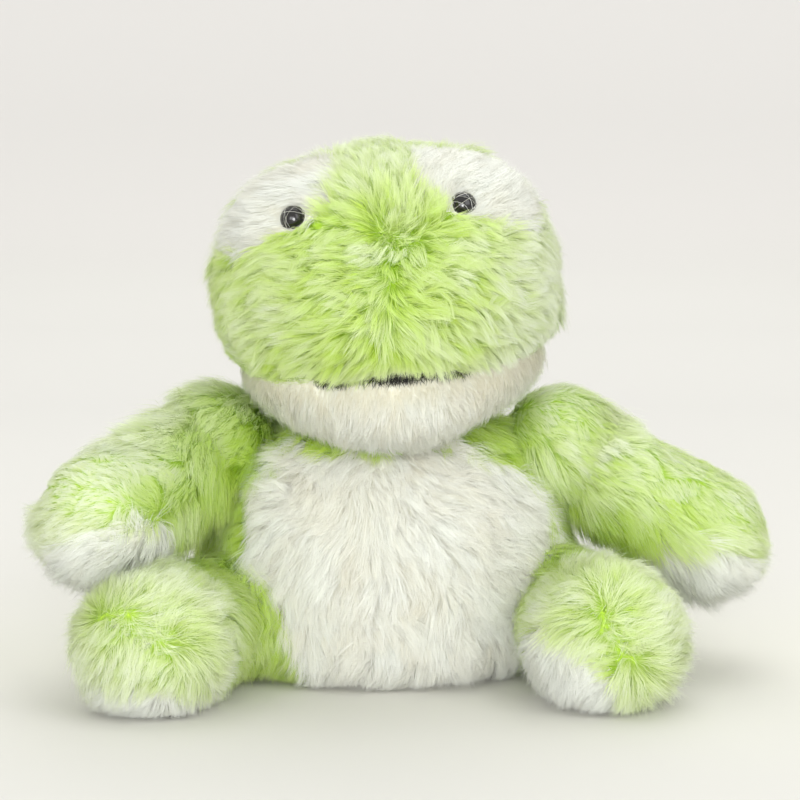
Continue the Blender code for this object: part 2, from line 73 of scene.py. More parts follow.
NECK = np.array((0.0, -0.003, 0.097))
NECK_BALL = 0.025
HEAD_HALF_WIDTH = 0.054
HEAD_DEPTHS = (0.050, 0.051)
HEAD_HEIGHTS = (0.042, 0.042)
HEAD_POWERS = (2.2, 3.2)
HEAD_ROLL = radians(4.7)
HEAD_YAW = radians(0.5)
MOUTH_DROP = 0.0255
CHIN_BACK = 0.004
PATCH_SPREAD = radians(20)
PATCH_SHARE = np.array((0.66, -0.45, 0.60))
EYE_SHARE = np.array((0.530, -0.670, 0.520))

ARM_SIZES = (0.0185, 0.0145, 0.0770, 0.0190)
LEG_SIZES = (0.018, 0.0142, 0.0670, 0.0225)
SHOULDERS = {"left": (0.05854, 0.00311, 0.0755), "right": (-0.05819, -0.0071, 0.0755)}
HIPS = {"left": (0.05692, -0.01838, 0.022), "right": (-0.05286, -0.02798, 0.022)}
ARM_POSES = {"left": (1, 30, 6, 20), "right": (-1, 14, 52, 32)}
LEG_POSES = {"left": (1, 20, 50), "right": (-1, 30, 4)}
PALM = (radians(16), radians(58))
SOLE = (radians(10), radians(56))

DOWN = np.array((0.0, 0.0, -1.0))


# Vectors


def size(v):
    return np.linalg.norm(v, axis=-1)


def unit(v):
    return v / np.maximum(size(v)[..., None], 1e-12)


def dot(a, b):
    return (a * b).sum(-1, keepdims=True)


def along_surface(v, normal):
    """v without its part along the normal, made a unit vector."""
    return unit(v - dot(v, normal) * normal)


def bell(x, spread):
    return np.exp(-(x / spread) ** 2)


def smooth(low, high, x):
    t = np.clip((x - low) / (high - low), 0, 1)
    return t * t * (3 - 2 * t)


def turn_matrix(angle, axis):
    return np.array(Matrix.Rotation(angle, 3, axis))


def aim(direction, down):
    axis = unit(np.array(direction, float))
    side = unit(np.array(down, float) - axis * np.dot(axis, down))
    return np.column_stack((side, np.cross(axis, side), axis))


def moved(points, turn, place=(0, 0, 0)):
    return points @ turn.T + np.asarray(place)


def over_floor(points, level=0.0):
    points[:, 2] = np.maximum(points[:, 2], level)
    return points


# Forms


def torso_profile(up):
    """The power and the height of the torso's upper or lower part."""
    return np.where(up, *TORSO_POWERS), np.where(up, TORSO_HEIGHT - TORSO_WIDEST, TORSO_FOOT)


def torso_local(d, inset=0.0):
    power, height = torso_profile(d[:, 2:3] > 0)
    level = np.maximum(np.hypot(d[:, 0:1], d[:, 1:2]), 1e-9)
    reach = level ** power / level
    rise = np.sign(d[:, 2:3]) * np.abs(d[:, 2:3]) ** power
    return np.hstack(((TORSO_HALF[0] - inset) * d[:, 0:1] * reach,
                      (TORSO_HALF[1] - inset) * d[:, 1:2] * reach,
                      TORSO_WIDEST + (height - inset) * rise))


TORSO_FRAME = turn_matrix(TORSO_TURN, "Z")


def torso(d):
    return over_floor(moved(torso_local(d), TORSO_FRAME))


def mirrored(share, sign):
    return unit(np.array((sign * share[0], share[1], share[2])))


def angle_to(d, axis):
    return np.arccos(np.clip(d @ unit(np.array(axis, float)), -1, 1))


def head_radius(d):
    x, y, z = d.T
    depth = np.where(y < 0, *HEAD_DEPTHS)
    height = np.where(z > 0, *HEAD_HEIGHTS)
    power = np.where(z > 0, *HEAD_POWERS)
    level = np.hypot(x / HEAD_HALF_WIDTH, y / depth)
    plain = (level ** power + np.abs(z / height) ** power) ** (-1 / power)
    turn = np.arctan2(x, -y)
    rise = np.arcsin(np.clip(z, -1, 1))
    muzzle = 0.009 * bell(turn, 1.0) * bell(rise + 0.09, 0.36)
    chin = 0.010 * bell(turn, 1.05) * bell(rise + 0.92, 0.34)
    fold = 0.005 * bell(turn, 1.2) * bell(plain * z + MOUTH_DROP, 0.0055)
    brow = 0.0035 * bell(angle_to(d, (0, -0.93, 0.36)), 0.26)
    crown = 0.003 * bell(angle_to(d, (0, 0.1, 1)), 0.45)
    mounds = sum(0.006 * bell(angle_to(d, mirrored(PATCH_SHARE, s)), 0.40) for s in (-1, 1))
    return plain + muzzle + chin + mounds + crown - fold - brow


HEAD_FRAME = turn_matrix(-HEAD_ROLL, "Y") @ turn_matrix(-HEAD_YAW, "Z")
HEAD_CENTRE = NECK + np.array((0, -0.009, 0.036))


def head(d, inset=0.0):
    return moved(d * (head_radius(d)[:, None] - inset), HEAD_FRAME, HEAD_CENTRE)


def pulled_in(d):
    """The head with a dimple round each eye, whose shank draws the cloth in."""
    depth = sum(0.0020 * bell(angle_to(d, mirrored(EYE_SHARE, s)), 0.105) for s in (-1, 1))
    return moved(d * (head_radius(d) - depth)[:, None], HEAD_FRAME, HEAD_CENTRE)


def limb_local(d, sizes, inset=0.0):
    root, waist, reach, tip = (own - inset for own in sizes)
    turn = np.arccos(np.clip(d[:, 2], -1, 1)) / pi
    leave = asin(waist / root)
    first = turn / 0.36 * pi / 2
    last = leave + (turn - 0.66) / 0.34 * (pi - leave)
    part = np.clip((turn - 0.36) / 0.30, 0, 1)
    height = (reach - tip) + (root * cos(leave) - reach + tip) * part
    radius = tip + (waist - tip) * part ** 2
    at_tip = turn < 0.36
    at_root = turn > 0.66
    height = np.where(at_tip, reach - tip + tip * np.cos(first), height)
    radius = np.where(at_tip, tip * np.sin(first), radius)
    height = np.where(at_root, root * np.cos(last), height)
    radius = np.where(at_root, root * np.sin(last), radius)
    level = np.maximum(np.hypot(d[:, 0], d[:, 1]), 1e-9)
    return np.column_stack((d[:, 0] / level * radius, d[:, 1] / level * radius, height))


def arm_turn(side):
    sign, droop, sweep, roll = ARM_POSES[side]
    droop, sweep, roll = (radians(a) for a in (droop, sweep, roll))
    toward = (sign * cos(droop) * cos(sweep), -cos(droop) * sin(sweep), -sin(droop))
    return aim(toward, turn_matrix(-roll, "X") @ DOWN)


def leg_turn(side):
    sign, splay, roll = LEG_POSES[side]
    splay, roll = radians(splay), radians(roll)
    inward = np.array((-sign * cos(splay), -sin(splay), 0))
    return aim((sign * sin(splay), -cos(splay), 0), DOWN * cos(roll) + inward * sin(roll))


LIMBS = {}
for side, _ in SIDES:
    LIMBS["arm_" + side] = (ARM_SIZES, arm_turn(side), np.array(SHOULDERS[side]), PALM)
    LIMBS["leg_" + side] = (LEG_SIZES, leg_turn(side), np.array(HIPS[side]), SOLE)


def limb(name, d, inset=0.0):
    sizes, turn, place, _ = LIMBS[name]
    return over_floor(moved(limb_local(d, sizes, inset), turn, place))


def limb_axis(name):
    return LIMBS[name][1][:, 2]


def limb_end(name):
    sizes, turn, place, _ = LIMBS[name]
    return place + turn[:, 2] * (sizes[2] - sizes[3])


# Where the white panels lie


def on_belly(d):
    x, y, z = torso_local(d).T
    middle = sum(BELLY_LEVELS) / 2
    half = (BELLY_LEVELS[1] - BELLY_LEVELS[0]) / 2
    u = np.abs(x / BELLY_HALF_WIDTH) ** (1 / BELLY_POWER)
    v = np.abs((z - middle) / half) ** (1 / BELLY_POWER)
    return (u * u + v * v < 1) & (y < -BELLY_BACK)


def over_mouth(d):
    """Height over the seam of the mouth."""
    return d[:, 2] * head_radius(d) + MOUTH_DROP


def on_chin(d):
    return (over_mouth(d) < 0) & (d[:, 1] * head_radius(d) < -CHIN_BACK)


def on_limb_panel(name, d, wider=0.0):
    sizes, _, _, (lean, spread) = LIMBS[name]
    at = limb_local(d, sizes) - np.array((0, 0, sizes[2] - sizes[3]))
    return angle_to(unit(at), (cos(lean), 0, sin(lean))) < spread + wider


# What lies inside what


def in_torso(points, margin):
    x, y, z = (points @ TORSO_FRAME).T
    power, height = torso_profile(z > TORSO_WIDEST)
    rise = np.clip(np.abs(z - TORSO_WIDEST) / height, 0, 1)
    share = np.sqrt(1 - rise ** (2 / power)) ** power
    across = np.hypot(x / np.maximum(TORSO_HALF[0] * share + margin, 1e-6),
                      y / np.maximum(TORSO_HALF[1] * share + margin, 1e-6))
    return (across < 1) & (z < TORSO_HEIGHT)


def inside_torso(depth):
    """Leaves out pile that lies this deep in the torso.  The backing goes on there."""
    return lambda points, margin: in_torso(points, -depth) & (margin >= 0)


def in_limb(points, name, margin):
    (root, waist, reach, tip), turn, place, _ = LIMBS[name]
    local = (points - place) @ turn
    height = local[:, 2]
    radius = np.hypot(local[:, 0], local[:, 1])
    near_root = size(local) < root + margin
    near_tip = size(local - (0, 0, reach - tip)) < tip + margin
    part = np.clip((reach - tip - height) / (reach - tip), 0, 1)
    wide = tip + (waist - tip) * part ** 2
    between = (height > 0) & (height < reach - tip) & (radius < wide + margin)
    return near_root | near_tip | between


def in_neck(points, margin):
    return size(points - NECK) < NECK_BALL + margin


# Meshes


def new_mesh(name, verts, faces, uv=None):
    """faces is a list of index arrays, one for each number of corners. uv goes by vertex."""
    mesh = bpy.data.meshes.new(name)
    loops = np.concatenate([f.ravel() for f in faces]).astype(np.int32)
    totals = np.concatenate([np.full(len(f), f.shape[1]) for f in faces]).astype(np.int32)
    starts = np.concatenate(([0], np.cumsum(totals)[:-1])).astype(np.int32)
    mesh.vertices.add(len(verts))
    mesh.vertices.foreach_set("co", np.asarray(verts, np.float32).ravel())
    mesh.loops.add(len(loops))
    mesh.loops.foreach_set("vertex_index", loops)
    mesh.polygons.add(len(totals))
    mesh.polygons.foreach_set("loop_start", starts)
    mesh.polygons.foreach_set("loop_total", totals)
    mesh.update(calc_edges=True)
    if uv is not None:
        layer = mesh.uv_layers.new(name="OFBake")
        layer.data.foreach_set("uv", np.asarray(uv, np.float32)[loops].ravel())
    mesh.shade_smooth()
    return mesh


def linked(name, data):
    made = bpy.data.objects.new(name, data)
    bpy.context.scene.collection.objects.link(made)
    return made


def new_object(name, mesh, material):
    mesh.materials.append(material)
    return linked(name, mesh)


def weld(made, distance=0.00002):
    """Joins points that fall together, as at a form's poles."""
    made.modifiers.new("weld", "WELD").merge_threshold = distance


def ring_quads(rows, sides):
    """The faces between rows of points that go round a form."""
    i, j = np.meshgrid(np.arange(rows), np.arange(sides), indexing="ij")
    k = (j + 1) % sides
    quads = np.stack((i * sides + j, (i + 1) * sides + j, (i + 1) * sides + k, i * sides + k), -1)
    return quads.reshape(-1, 4)


def sphere_grid(sides, rings):
    """Directions of a sphere's rings and their faces."""
    theta = np.linspace(0, pi, rings + 1)
    phi = np.arange(sides) / sides * 2 * pi
    t, p = np.meshgrid(theta, phi, indexing="ij")
    d = np.stack((np.sin(t) * np.cos(p), np.sin(t) * np.sin(p), np.cos(t)), -1).reshape(-1, 3)
    return d, ring_quads(rings, sides)


CLOTH_THICKNESS = 0.0009


def skin(name, place, fineness, keep, material):
    """The faces of a form that keep(directions) picks, as cloth with its own thickness."""
    d, quads = sphere_grid(*fineness)
    middle = unit(d[quads].mean(1))
    quads = quads[keep(middle)]
    used, flat = np.unique(quads, return_inverse=True)
    made = new_object(name, new_mesh(name, place(d[used]), [flat.reshape(-1, 4)]), material)
    weld(made)
    cloth = made.modifiers.new("cloth", "SOLIDIFY")
    cloth.thickness = CLOTH_THICKNESS
    cloth.offset = -1
    return made


# Pile


def scatter(place, fineness, rng):
    """Even random points on a form: their directions, places and outward normals."""
    d, quads = sphere_grid(*fineness)
    p = place(d)[quads]
    area = 0.5 * size(np.cross(p[:, 2] - p[:, 0], p[:, 3] - p[:, 1]))
    count = np.floor(area / MM ** 2 * PER_MM2 + rng.random(len(area))).astype(int)
    corner = d[np.repeat(quads, count, axis=0)]
    s, t = rng.random((2, len(corner), 1))
    at = unit((corner[:, 0] * (1 - s) + corner[:, 1] * s) * (1 - t)
              + (corner[:, 3] * (1 - s) + corner[:, 2] * s) * t)
    return at, place(at), normals(place, at)


def normals(place, d):
    helper = np.where(np.abs(d[:, 2:3]) < 0.9, (0.0, 0.0, 1.0), (1.0, 0.0, 0.0))
    a = along_surface(helper, d)
    b = np.cross(d, a)
    step = 0.01
    across = place(unit(d + step * a)) - place(unit(d - step * a))
    up = place(unit(d + step * b)) - place(unit(d - step * b))
    return unit(np.cross(across, up))


def waves(points, span, rng, count=7):
    """A smooth random field over space, about -1 to 1, with waves about as long as span."""
    total = np.zeros(len(points))
    for _ in range(count):
        way = unit(rng.normal(size=3))
        total += np.sin(points @ way / span * 2 * pi * rng.uniform(0.6, 1.3)
                        + rng.uniform(0, 2 * pi))
    return total / sqrt(count)


WARP = np.random.default_rng(SEED + 30)
WARP_WAYS = WARP.normal(size=(3, 6, 3))
WARP_PHASES = WARP.uniform(0, 2 * pi, (3, 6))


def warped(points, amount=0.004, span=0.022):
    """Points moved a little, unevenly, so that a flow drawn from a point isn't a perfect star."""
    shift = [np.sin(points @ ways.T / span * 2 + phases).sum(1) / 2.4
             for ways, phases in zip(WARP_WAYS, WARP_PHASES)]
    return points + amount * np.column_stack(shift)


def rotated(v, axis, angle):
    """v, square to axis, turned about it."""
    angle = angle[:, None]
    return v * np.cos(angle) + np.cross(axis, v) * np.sin(angle)


def nearest(points, centres):
    tree = KDTree(len(centres))
    for i, at in enumerate(centres):
        tree.insert(at, i)
    tree.balance()
    return np.array([tree.find(at)[1] for at in points])


LEAST_RISE = 0.10  # a hair's slope away from its panel, at the least


def curves(root, normal, flow, length, lift, lie, droop, steps):
    """Points along each hair, which leaves at lift, ends at lie and sinks by droop."""
    at = root.copy()
    out = [at]
    for k in range(steps):
        share = (k + 0.5) / steps
        angle = (lift * (1 - share) + lie * share)[:, None]
        way = unit(np.cos(angle) * flow + np.sin(angle) * normal + DOWN * (droop * share)[:, None])
        way = unit(way + normal * np.maximum(LEAST_RISE - dot(way, normal), 0))
        at = at + way * (length / steps)[:, None]
        out.append(at)
    return out


HAIR_STEPS = 2
MOST_HAIRS = 62000  # in one piece
PER_MM2 = 7.4
PILE_REACH = np.array((0.0084, 0.0068, 0.0120))
PILE_BOX = (np.array(CAD_BOX[0]) - PILE_REACH, np.array(CAD_BOX[1]) + PILE_REACH)


def drawn_to(line, root, lead, lead_root, group, pull, close):
    """Each line pulled towards its group's lead, more towards its tip."""
    offset = root - lead_root[group]
    out = []
    for k in range(len(line)):
        share = k / (len(line) - 1)
        target = lead[k][group] + offset * (1 - close * share)
        weight = pull * share ** 0.8
        out.append(line[k] * (1 - weight) + target * weight)
    return out


def pile(name, body, material, slot, root, normal, flow, rng, length=12.0, lift=50, lie=8,
         droop=0.25, width=0.20, locks=5.0, lock_pull=0.3, tuft=1.1, pull=0.55, close=0.7, mess=13,
         tilt=8, wave=26, uneven=0.10, loose=0.24, tint=0.5, trim=None, soft=0.85):
    """Hairs on a panel, drawn together into tufts and those into locks.

    length, width, locks and tuft are in millimetres, and the angles in degrees.  tint goes from
    deep, 0, to pale, 1, and soft is how far a hair is lit as the panel under it is.
    """
    count = len(root)
    flow = along_surface(rotated(flow, normal, np.radians(wave) * waves(root, 0.024, rng)), normal)

    def spread(value):
        return np.broadcast_to(np.asarray(value, float), (count,))

    ruffled = waves(root, 0.030, rng)
    long = spread(length) * MM * (1 + uneven * waves(root, 0.022, rng))
    lifts = np.radians(np.maximum(spread(lift) + 60 * uneven * ruffled, 24))
    lies = np.radians(np.maximum(spread(lie) + 50 * uneven * ruffled, 5))
    droops = spread(droop)
    stray = rng.random(count) < loose

    def some_lines(pick, turn, extra, scale):
        return curves(root[pick], normal[pick], rotated(flow[pick], normal[pick], turn),
                      long[pick] * scale, lifts[pick] + extra, lies[pick], droops[pick], HAIR_STEPS)

    # Locks, each a few millimetres across
    heads = rng.permutation(count)[:max(4, int(count / (PER_MM2 * locks ** 2)))]
    head_turn = rng.normal(0, radians(mess), len(heads))
    head_lift = rng.normal(0, radians(tilt), len(heads))
    head_long = rng.uniform(0.82, 1.18, len(heads))
    head_tint = rng.normal(0, 0.12, len(heads)) + 0.08 * waves(root[heads], 0.028, rng)
    head_line = some_lines(heads, head_turn, head_lift, head_long)

    # Tufts, drawn to their locks
    tufts = rng.permutation(count)[:max(8, int(count / (PER_MM2 * tuft ** 2)))]
    above = nearest(root[tufts], root[heads])
    turn = head_turn[above] + rng.normal(0, radians(mess), len(tufts))
    lifted = head_lift[above] + rng.normal(0, radians(6), len(tufts))
    longer = head_long[above] * rng.uniform(0.78, 1.12, len(tufts))
    # Longer tufts, which lie on top, are paler and shorter ones under them deeper: painted shade, on
    # top of each lock's and tuft's own tint.
    shade = head_tint[above] + rng.normal(0, 0.10, len(tufts)) + 0.6 * (longer - 0.95)
    tuft_line = drawn_to(some_lines(tufts, turn, lifted, longer), root[tufts], head_line,
                         root[heads], above, lock_pull, 0.5)

    # Hairs, drawn to their tufts
    group = nearest(root, root[tufts])
    reach = rng.uniform(0.72, 1.05, count)
    turn = turn[group] + rng.normal(0, radians(9), count)
    lifted = lifted[group] + rng.normal(0, radians(7), count) + stray * radians(13)
    own = some_lines(np.arange(count), turn, lifted, longer[group] * reach * (1 + 0.16 * stray))
    own_pull = np.where(stray, pull * 0.2, pull)[:, None]
    line = np.stack(drawn_to(own, root, tuft_line, root[tufts], group, own_pull, close), 1)
    line[..., 2] = np.maximum(line[..., 2], 0.0004 + 0.0006 * rng.random((count, 1)))
    keep = ((line > PILE_BOX[0]) & (line < PILE_BOX[1])).all((1, 2))
    if trim is not None:
        keep &= trim(line)
    # Shorter hairs, under the longer ones, are deeper: painted shade.
    shade = tint + shade[group] + 0.5 * (reach - 0.88) + rng.normal(0, 0.05, count)
    roll = rng.uniform(-1.0, 1.0, count)
    wide = width * MM * rng.uniform(0.7, 1.25, count) * (1 - 0.45 * stray)
    ribbons(name, body, material, slot, line[keep], normal[keep], roll[keep], wide[keep],
            np.clip(shade, 0.02, 0.98)[keep], soft, rng)


def ribbons(name, body, material, slot, line, normal, roll, width, shade, soft, rng):
    """Each hair as a ribbon that narrows to a point.  Its UV is its shade and share of length."""
    steps = line.shape[1] - 1
    order = rng.permutation(len(line))
    parts = max(1, ceil(len(line) / MOST_HAIRS))
    for part in range(parts):
        pick = order[part::parts]
        p, n = line[pick], normal[pick]
        count = len(pick)
        way = unit(p[:, -1] - p[:, 0])
        side = rotated(unit(np.cross(way, n)), way, roll[pick])
        facing = unit(unit(np.cross(side, way)) * (1 - soft) + n * soft)
        verts, uv = [], []
        for k in range(steps):
            share = k / steps
            half = (width[pick] * (0.5 - 0.26 * share))[:, None] * side
            for edge in (p[:, k] - half, p[:, k] + half):
                verts.append(edge)
                uv.append(np.column_stack((shade[pick], np.full(count, 0.02 + 0.96 * share))))
        verts.append(p[:, steps])
        uv.append(np.column_stack((shade[pick], np.full(count, 0.98))))
        verts = np.stack(verts, 1).reshape(-1, 3)
        uv = np.stack(uv, 1).reshape(-1, 2)
        base = (np.arange(count) * (2 * steps + 1))[:, None]
        quads = [base + np.array([[2 * k, 2 * k + 1, 2 * k + 3, 2 * k + 2]])
                 for k in range(steps - 1)]
        tips = base + np.array([[2 * steps - 2, 2 * steps - 1, 2 * steps]])
        label = name if parts == 1 else f"{name}_{part + 1}"
        mesh = new_mesh(label, verts, [np.concatenate(quads), tips], uv)
        mesh.normals_split_custom_set_from_vertices(np.repeat(facing, 2 * steps + 1, axis=0))
        made = new_object(label, mesh, material)
        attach(made, body)


# Materials


def new_material(name, roughness, sheen):
    """A material, its nodes, what links them and its shader."""
    material = bpy.data.materials.new(name)
    material.use_nodes = True
    tree = material.node_tree
    shader = tree.nodes["Principled BSDF"]
    shader.inputs["Roughness"].default_value = roughness
    shader.inputs["Sheen Weight"].default_value = sheen
    return material, tree.nodes, tree.links.new, shader


def linear(r, g, b):
    return tuple((c / 255 / 12.92) if c < 11 else ((c / 255 + 0.055) / 1.055) ** 2.4
                 for c in (r, g, b))


def ramp(nodes, stops):
    made = nodes.new("ShaderNodeValToRGB")
    ends = made.color_ramp.elements
    while len(ends) < len(stops):
        ends.new(0.5)
    for element, (place, colour) in zip(ends, stops):
        element.position = place
        element.color = (*linear(*colour), 1)
    return made


LIGHT_THROUGH = 0.5


def hair_material(name, deep, pale):
    """A hair's colour from root to tip, between two shades.  Light shines through it."""
    material, nodes, link, shader = new_material(name, 0.6, 0.2)
    where = nodes.new("ShaderNodeUVMap")
    where.uv_map = "OFBake"
    parts = nodes.new("ShaderNodeSeparateXYZ")
    link(where.outputs["UV"], parts.inputs[0])
    mix = nodes.new("ShaderNodeMix")
    mix.data_type = "RGBA"
    link(parts.outputs["X"], mix.inputs["Factor"])
    for socket, stops in zip([k for k in mix.inputs if k.type == "RGBA"], (deep, pale)):
        colours = ramp(nodes, stops)
        link(parts.outputs["Y"], colours.inputs["Fac"])
        link(colours.outputs["Color"], socket)
    colour = [k for k in mix.outputs if k.type == "RGBA"][0]
    link(colour, shader.inputs["Base Color"])
    glow = nodes.new("ShaderNodeBsdfTranslucent")
    link(colour, glow.inputs["Color"])
    both = nodes.new("ShaderNodeMixShader")
    both.inputs["Fac"].default_value = LIGHT_THROUGH
    link(shader.outputs["BSDF"], both.inputs[1])
    link(glow.outputs["BSDF"], both.inputs[2])
    link(both.outputs["Shader"], nodes["Material Output"].inputs["Surface"])
    return material


def noise_material(name, scale, dark, light, roughness, bump, sheen=0.0, detail=5, strength=0.4):
    """A material with fine unevenness in its colour and its surface."""
    material, nodes, link, shader = new_material(name, roughness, sheen)
    where = nodes.new("ShaderNodeTexCoord")
    noise = nodes.new("ShaderNodeTexNoise")
    noise.inputs["Scale"].default_value = scale
    noise.inputs["Detail"].default_value = detail
    link(where.outputs["Object"], noise.inputs["Vector"])
    colours = ramp(nodes, ((0.3, dark), (0.7, light)))
    link(noise.outputs["Fac"], colours.inputs["Fac"])
    link(colours.outputs["Color"], shader.inputs["Base Color"])
    raised = nodes.new("ShaderNodeBump")
    raised.inputs["Strength"].default_value = strength
    raised.inputs["Distance"].default_value = bump
    link(noise.outputs["Fac"], raised.inputs["Height"])
    link(raised.outputs["Normal"], shader.inputs["Normal"])
    return material


def knitted(name, dark, light):
    """Knitted backing under the pile: small loops and uneven dye."""
    return noise_material(name, 900, dark, light, 0.95, 0.0004, detail=4, strength=0.5)


# The darker first stops at the root are painted shade, as deep in the pile.
GREEN = hair_material("green_hair",
                      ((0.0, (140, 174, 38)), (0.12, (167, 202, 44)), (0.32, (202, 233, 62)),
                       (0.5, (216, 241, 92)), (1.0, (234, 247, 174))),
                      ((0.0, (178, 206, 98)), (0.12, (210, 231, 128)), (0.32, (237, 246, 192)),
                       (0.5, (243, 249, 220)), (1.0, (250, 253, 246))))
# The creamy deep colours are a painted warm shade; the pale ones are the cloth's white.
WHITE = hair_material("white_hair",
                      ((0.0, (236, 232, 214)), (0.5, (243, 240, 226)), (1.0, (251, 250, 241))),
                      ((0.0, (249, 250, 243)), (0.5, (252, 254, 249)), (1.0, (254, 255, 252))))
GREEN_BACK = knitted("green_backing", (158, 194, 50), (184, 216, 78))
WHITE_BACK = knitted("white_backing", (238, 238, 226), (248, 248, 240))
GREEN_CLOTH = (GREEN_BACK, GREEN, "green_pile")
WHITE_CLOTH = (WHITE_BACK, WHITE, "white_pile")
EYE_GLOSS = noise_material("eye_black", 1500, (9, 8, 8), (20, 18, 17), 0.16, 0.000004)
COAT = EYE_GLOSS.node_tree.nodes["Principled BSDF"].inputs
COAT["Coat Weight"].default_value = 0.4
COAT["Coat Roughness"].default_value = 0.08
WASHER_PLASTIC = noise_material("washer_white", 900, (222, 220, 214), (236, 234, 229),
                                0.42, 0.00001)
THREAD = noise_material("black_thread", 3000, (14, 14, 12), (38, 38, 30), 0.8, 0.00005, 0.1)
FIBRE = noise_material("white_fibre", 420, (226, 226, 222), (248, 248, 246), 0.9, 0.0012, 0.1)
LINEN = noise_material("pouch_weave", 1600, (186, 176, 150), (214, 206, 184), 0.9, 0.0002)


# The toy


def dress(name, body, place, fineness, region, cloth, node, hidden, flow, rng,
          hair_region=None, ragged=0.014, **style):
    """A panel's backing, which stands for its solid, and the pile on it.

    hidden(points, margin) tells what lies inside another piece, and ragged is how far the edge
    of the pile strays, as a share of the form's radius.
    """
    def shown(middle):
        return region(middle) & ~hidden(place(middle), -0.0012)

    back, hair, slot = cloth
    made = skin(name + "_backing", place, fineness, shown, back)
    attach(made, body)
    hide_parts(node)
    d, root, normal = scatter(place, fineness, rng)
    apart = unit(d + rng.normal(0, ragged, d.shape))
    keep = (hair_region or region)(apart) & ~hidden(root, 0.0)
    d, root, normal = d[keep], root[keep], normal[keep]
    style = {key: value(d, root, normal) if callable(value) and key != "trim" else value
             for key, value in style.items()}
    pile(name + "_pile", body, hair, slot, root, normal, flow(root, normal), rng, **style)


def white_torso_pile(d):
    """The belly's pile: green hangs over one lower corner, and white reaches up the neck."""
    x, y, z = torso_local(d).T
    left_edge = -0.0455 + 0.019 * (1 - smooth(0, 0.045, z))
    ragged_top = 0.0785 + 0.0012 * np.sin(400 * x)
    below_chin = (np.abs(x + 0.0075) < 0.0305) & (z > 0.066) & (z < ragged_top)
    neck = (np.abs(x - 0.010) < 0.006) & (z > 0.068)
    return (on_belly(d) & (x > left_edge)) | ((below_chin | neck) & (y < -0.008))


def build_torso(rng):
    def hidden(points, margin):
        inside = in_neck(points, 0.0006 + margin)
        for name in LIMBS:
            inside |= in_limb(points, name, margin)
        return inside

    def belly_flow(root, normal):
        high = smooth(0.020, 0.062, root[:, 2:3])
        aside = np.clip((root[:, 0:1] + 0.006) / 0.045, -0.8, 1) * high * 1.9
        return along_surface(DOWN + aside * (1, 0, 0), normal)

    def side_flow(root, normal):
        aside = np.sign(root[:, 0:1]) * 0.5 * smooth(0.03, 0.08, root[:, 2:3])
        return along_surface(DOWN + aside * (1, 0, 0) + np.array((0, -0.15, 0)), normal)

    def near_edge(most):
        """Shorter towards the floor, so that the seat's hem stays clear of it."""
        return lambda d, root, n: (most * (0.72 + 0.28 * smooth(0.0, 0.016, root[:, 2]))
                                   * (1 - 0.16 * smooth(0.015, 0.035, root[:, 1])))

    def lower_behind(d, root, n):
        return 50 - 20 * smooth(0.012, 0.034, root[:, 1])

    dress("belly", "torso", torso, (150, 90), on_belly, WHITE_CLOTH,
          "belly_panel", hidden, belly_flow, rng, hair_region=white_torso_pile,
          length=near_edge(12.5), lift=48, droop=0.4, tint=0.6, mess=20, tilt=11,
          locks=6.5, lock_pull=0.42)
    # The torso's pile takes the deepest tint as painted shade, for its sides in the shade between
    # the arms, the legs and the belly.
    dress("torso", "torso", torso, (150, 90), lambda d: ~on_belly(d), GREEN_CLOTH,
          "torso_skin", hidden, side_flow, rng,
          hair_region=lambda d: ~white_torso_pile(d), length=near_edge(11.5), lift=lower_behind,
          droop=0.3, tint=0.03, mess=17, tilt=10, locks=6.0, lock_pull=0.4)


WHORL = [HEAD_CENTRE + HEAD_FRAME @ (unit(np.array(way)) * 0.053)
         for way in ((0.11, -0.90, 0.41), (0.21, -0.93, 0.28))]
SEAM_X = -0.001
EYES = {}
for side, sign in SIDES:
    share = mirrored(EYE_SHARE, sign)
    EYES[side] = HEAD_CENTRE + HEAD_FRAME @ (share * float(head_radius(share[None])[0]))
EYE_CLEAR = 0.0033  # half the width of an eye that no pile covers
LEFT_EYE_FAR = 1.12  # the left eye is covered a little more
AHEAD = unit(np.array((0.0, -1.0, 0.16)))


def off_line(points, start, way):
    at = points - start
    along = at @ way
    return size(at - along[..., None] * way), along


def eye_room(points):
    """How far points are from the nearest eye, seen along its own axis and from the front."""
    near = np.full(points.shape[:-1], 1.0)
    for side, sign in SIDES:
        axis = HEAD_FRAME @ mirrored(EYE_SHARE, sign)
        for way in (axis, unit(axis + AHEAD), AHEAD):
            far, along = off_line(points, EYES[side] - axis * 0.002, way)
            far = far * (LEFT_EYE_FAR if side == "left" else 1)
            near = np.where(along > -0.004, np.minimum(near, far), near)
    return near


def away_from(points, *line):
    """Directions away from a line through points, such as a parting in the pile."""
    offs = []
    for start, end in zip(line, line[1:]):
        along = end - start
        share = np.clip((points - start) @ along / (along @ along), 0, 1)
        offs.append(points - start - share[:, None] * along)
    offs = np.stack(offs)
    near = size(offs).argmin(0)
    off = offs[near, np.arange(len(points))]
    return unit(off + warped(points, 0.0018, 0.0030) - points)


def round_eyes(flow, root):
    """A flow turned aside where it would run into an eye."""
    for at in EYES.values():
        off = root - at
        out = unit(off)
        flow = unit(flow)
        inward = np.clip(-dot(flow, out), 0, 1)
        far = smooth(0.007, 0.014, size(off)[:, None])
        flow = flow + 1.1 * inward * out * (1 - far)
    return flow


def head_flow(root, normal):
    near = root
    root = warped(root)
    away = away_from(root, *WHORL)
    back = smooth(-0.02, 0.03, root[:, 1:2])
    low = smooth(0.156, 0.138, root[:, 2:3])
    dx = root[:, 0:1] - SEAM_X
    aside = np.tanh(dx / 0.008)
    middle = bell(dx, 0.022)
    sinking = 0.30 + 0.75 * middle * smooth(0.135, 0.112, root[:, 2:3])
    fanned = unit(np.concatenate((aside, np.zeros_like(dx), -sinking), 1))
    flow = away * (1 - low) + fanned * low
    flow = flow * (1 - back) + (away * 0.4 + DOWN * 0.8) * back
    return along_surface(round_eyes(flow, near), normal)


